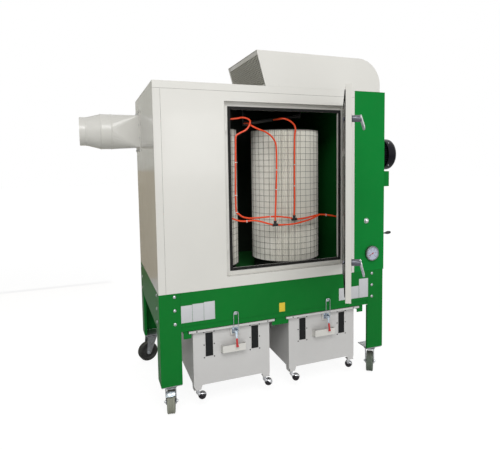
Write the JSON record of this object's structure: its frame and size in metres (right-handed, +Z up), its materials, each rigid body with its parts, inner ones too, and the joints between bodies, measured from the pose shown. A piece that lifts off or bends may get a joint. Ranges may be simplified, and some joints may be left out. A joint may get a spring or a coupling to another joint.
{
  "type": "cartridge dust extractor",
  "caption": "Floor-standing cartridge dust extractor with an open hinged door, pleated filters, side fan column, roof outlet hood, side inlet duct and slide-out dust bins on castors.",
  "frame": {"origin": "middle of the bounding box at the bottom, on the floor under the wheels", "axes": "+X to the right along the front, +Y to the rear, +Z up"},
  "size_m": [2.318, 1.8304, 2.324],
  "materials": {
    "green_paint": "gloss enamel",
    "cream_paint": "semi-gloss powder coat",
    "grille_paint": "semi-gloss powder coat",
    "black_rubber": "matt sponge rubber",
    "black_paint": "semi-gloss",
    "gauge_body": "satin black case with a white dial",
    "polished_metal": "polished",
    "black_plastic": "moulded, matt",
    "filter_media": "pleated cloth under a black wire mesh",
    "hose_rubber": "extruded, satin",
    "zinc": "zinc-plated",
    "red_grip": "dipped",
    "wheel_tyre": "moulded tread on a black hub"
  },
  "bodies": {
    "cabinet": {"leg_front_left": "green_paint", "leg_front_right": "green_paint", "leg_rear_left": "green_paint", "leg_rear_right": "green_paint", "skirt_front": "green_paint", "skirt_rear": "green_paint", "skirt_left": "green_paint", "skirt_right": "green_paint", "bin_rails": "green_paint", "hopper_left": "green_paint", "hopper_right": "green_paint", "chamber_floor": "green_paint", "left_wall": "cream_paint", "rear_wall": "cream_paint", "roof": "cream_paint", "front_panel": "cream_paint", "partition": "green_paint", "door_frame": "cream_paint", "door_frame_seal": "black_rubber", "fan_column": "green_paint", "motor_shelf": "green_paint", "fan_motor": "black_paint", "outlet_hood": "cream_paint", "hood_sides": "cream_paint", "outlet_grille": "grille_paint", "pressure_gauge": "gauge_body", "dome_button": "polished_metal", "side_handle": "black_plastic", "inlet_transition": "cream_paint", "inlet_reducer": "cream_paint", "filter_left": "filter_media", "filter_right": "filter_media", "air_fittings": "black_paint", "air_hoses": "hose_rubber", "door_hinge_plates": "cream_paint", "caster_plates": "zinc"},
    "door": {"door_panel": "cream_paint", "door_gasket": "black_rubber"},
    "door_latch_top": {"door_latch_top": "zinc"},
    "door_latch_bottom": {"door_latch_bottom": "zinc"},
    "bin_left": {"bin_left_box": "cream_paint", "bin_left_windows": "black_plastic", "bin_left_handle": "cream_paint", "bin_left_latch": "zinc", "bin_left_ball_casters": "polished_metal"},
    "bin_left_lever": {"bin_left_latch_lever": "red_grip"},
    "bin_right": {"bin_right_box": "cream_paint", "bin_right_windows": "black_plastic", "bin_right_handle": "cream_paint", "bin_right_latch": "zinc", "bin_right_ball_casters": "polished_metal"},
    "bin_right_lever": {"bin_right_latch_lever": "red_grip"},
    "caster_front_left": {"fork_front_left": "zinc"},
    "wheel_front_left": {"wheel_front_left": "wheel_tyre"},
    "caster_front_right": {"fork_front_right": "zinc"},
    "wheel_front_right": {"wheel_front_right": "wheel_tyre"},
    "caster_rear_left": {"fork_rear_left": "zinc"},
    "wheel_rear_left": {"wheel_rear_left": "wheel_tyre"},
    "caster_rear_right": {"fork_rear_right": "zinc"},
    "wheel_rear_right": {"wheel_rear_right": "wheel_tyre"}
  },
  "joints": [
    {"name": "door_hinge", "type": "hinge", "parent": "cabinet", "child": "door", "pos_m": [0.553, -0.15683, 1.4375], "axis": [0, 0, 1], "range_deg": [-60, 50]},
    {"name": "door_latch_top_turn", "type": "hinge", "parent": "door", "child": "door_latch_top", "pos_m": [0.1595, -0.83839, 1.833], "axis": [-0.866, 0.5, 0], "range_deg": [0, 138]},
    {"name": "door_latch_bottom_turn", "type": "hinge", "parent": "door", "child": "door_latch_bottom", "pos_m": [0.1595, -0.83839, 1.074], "axis": [-0.866, 0.5, 0], "range_deg": [0, 90]},
    {"name": "bin_left_slide", "type": "slide", "parent": "cabinet", "child": "bin_left", "axis": [0, -1, 0], "range_m": [0, 0.85]},
    {"name": "bin_left_latch_turn", "type": "hinge", "parent": "bin_left", "child": "bin_left_lever", "pos_m": [-0.2585, -0.14783, 0.516], "axis": [-1, 0, 0], "range_deg": [0, 100]},
    {"name": "bin_right_slide", "type": "slide", "parent": "cabinet", "child": "bin_right", "axis": [0, -1, 0], "range_m": [0, 0.85]},
    {"name": "bin_right_latch_turn", "type": "hinge", "parent": "bin_right", "child": "bin_right_lever", "pos_m": [0.4185, -0.14783, 0.516], "axis": [-1, 0, 0], "range_deg": [0, 100]},
    {"name": "caster_front_left_swivel", "type": "hinge", "parent": "cabinet", "child": "caster_front_left", "pos_m": [-0.677, -0.07383, 0.2], "axis": [0, 0, 1], "continuous": true},
    {"name": "wheel_front_left_roll", "type": "hinge", "parent": "caster_front_left", "child": "wheel_front_left", "pos_m": [-0.66899, -0.0326, 0.075], "axis": [0.9816, -0.1908, 0], "continuous": true},
    {"name": "caster_front_right_swivel", "type": "hinge", "parent": "cabinet", "child": "caster_front_right", "pos_m": [0.816, -0.07383, 0.2], "axis": [0, 0, 1], "continuous": true},
    {"name": "wheel_front_right_roll", "type": "hinge", "parent": "caster_front_right", "child": "wheel_front_right", "pos_m": [0.84069, -0.03985, 0.075], "axis": [0.809, -0.5878, 0], "continuous": true},
    {"name": "caster_rear_left_swivel", "type": "hinge", "parent": "cabinet", "child": "caster_rear_left", "pos_m": [-0.677, 0.84917, 0.2], "axis": [0, 0, 1], "continuous": true},
    {"name": "wheel_rear_left_roll", "type": "hinge", "parent": "caster_rear_left", "child": "wheel_rear_left", "pos_m": [-0.71775, 0.83901, 0.075], "axis": [-0.2419, 0.9703, 0], "continuous": true},
    {"name": "caster_rear_right_swivel", "type": "hinge", "parent": "cabinet", "child": "caster_rear_right", "pos_m": [0.816, 0.84917, 0.2], "axis": [0, 0, 1], "continuous": true},
    {"name": "wheel_rear_right_roll", "type": "hinge", "parent": "caster_rear_right", "child": "wheel_rear_right", "pos_m": [0.80513, 0.8086, 0.075], "axis": [-0.9659, 0.2588, 0], "continuous": true}
  ]
}
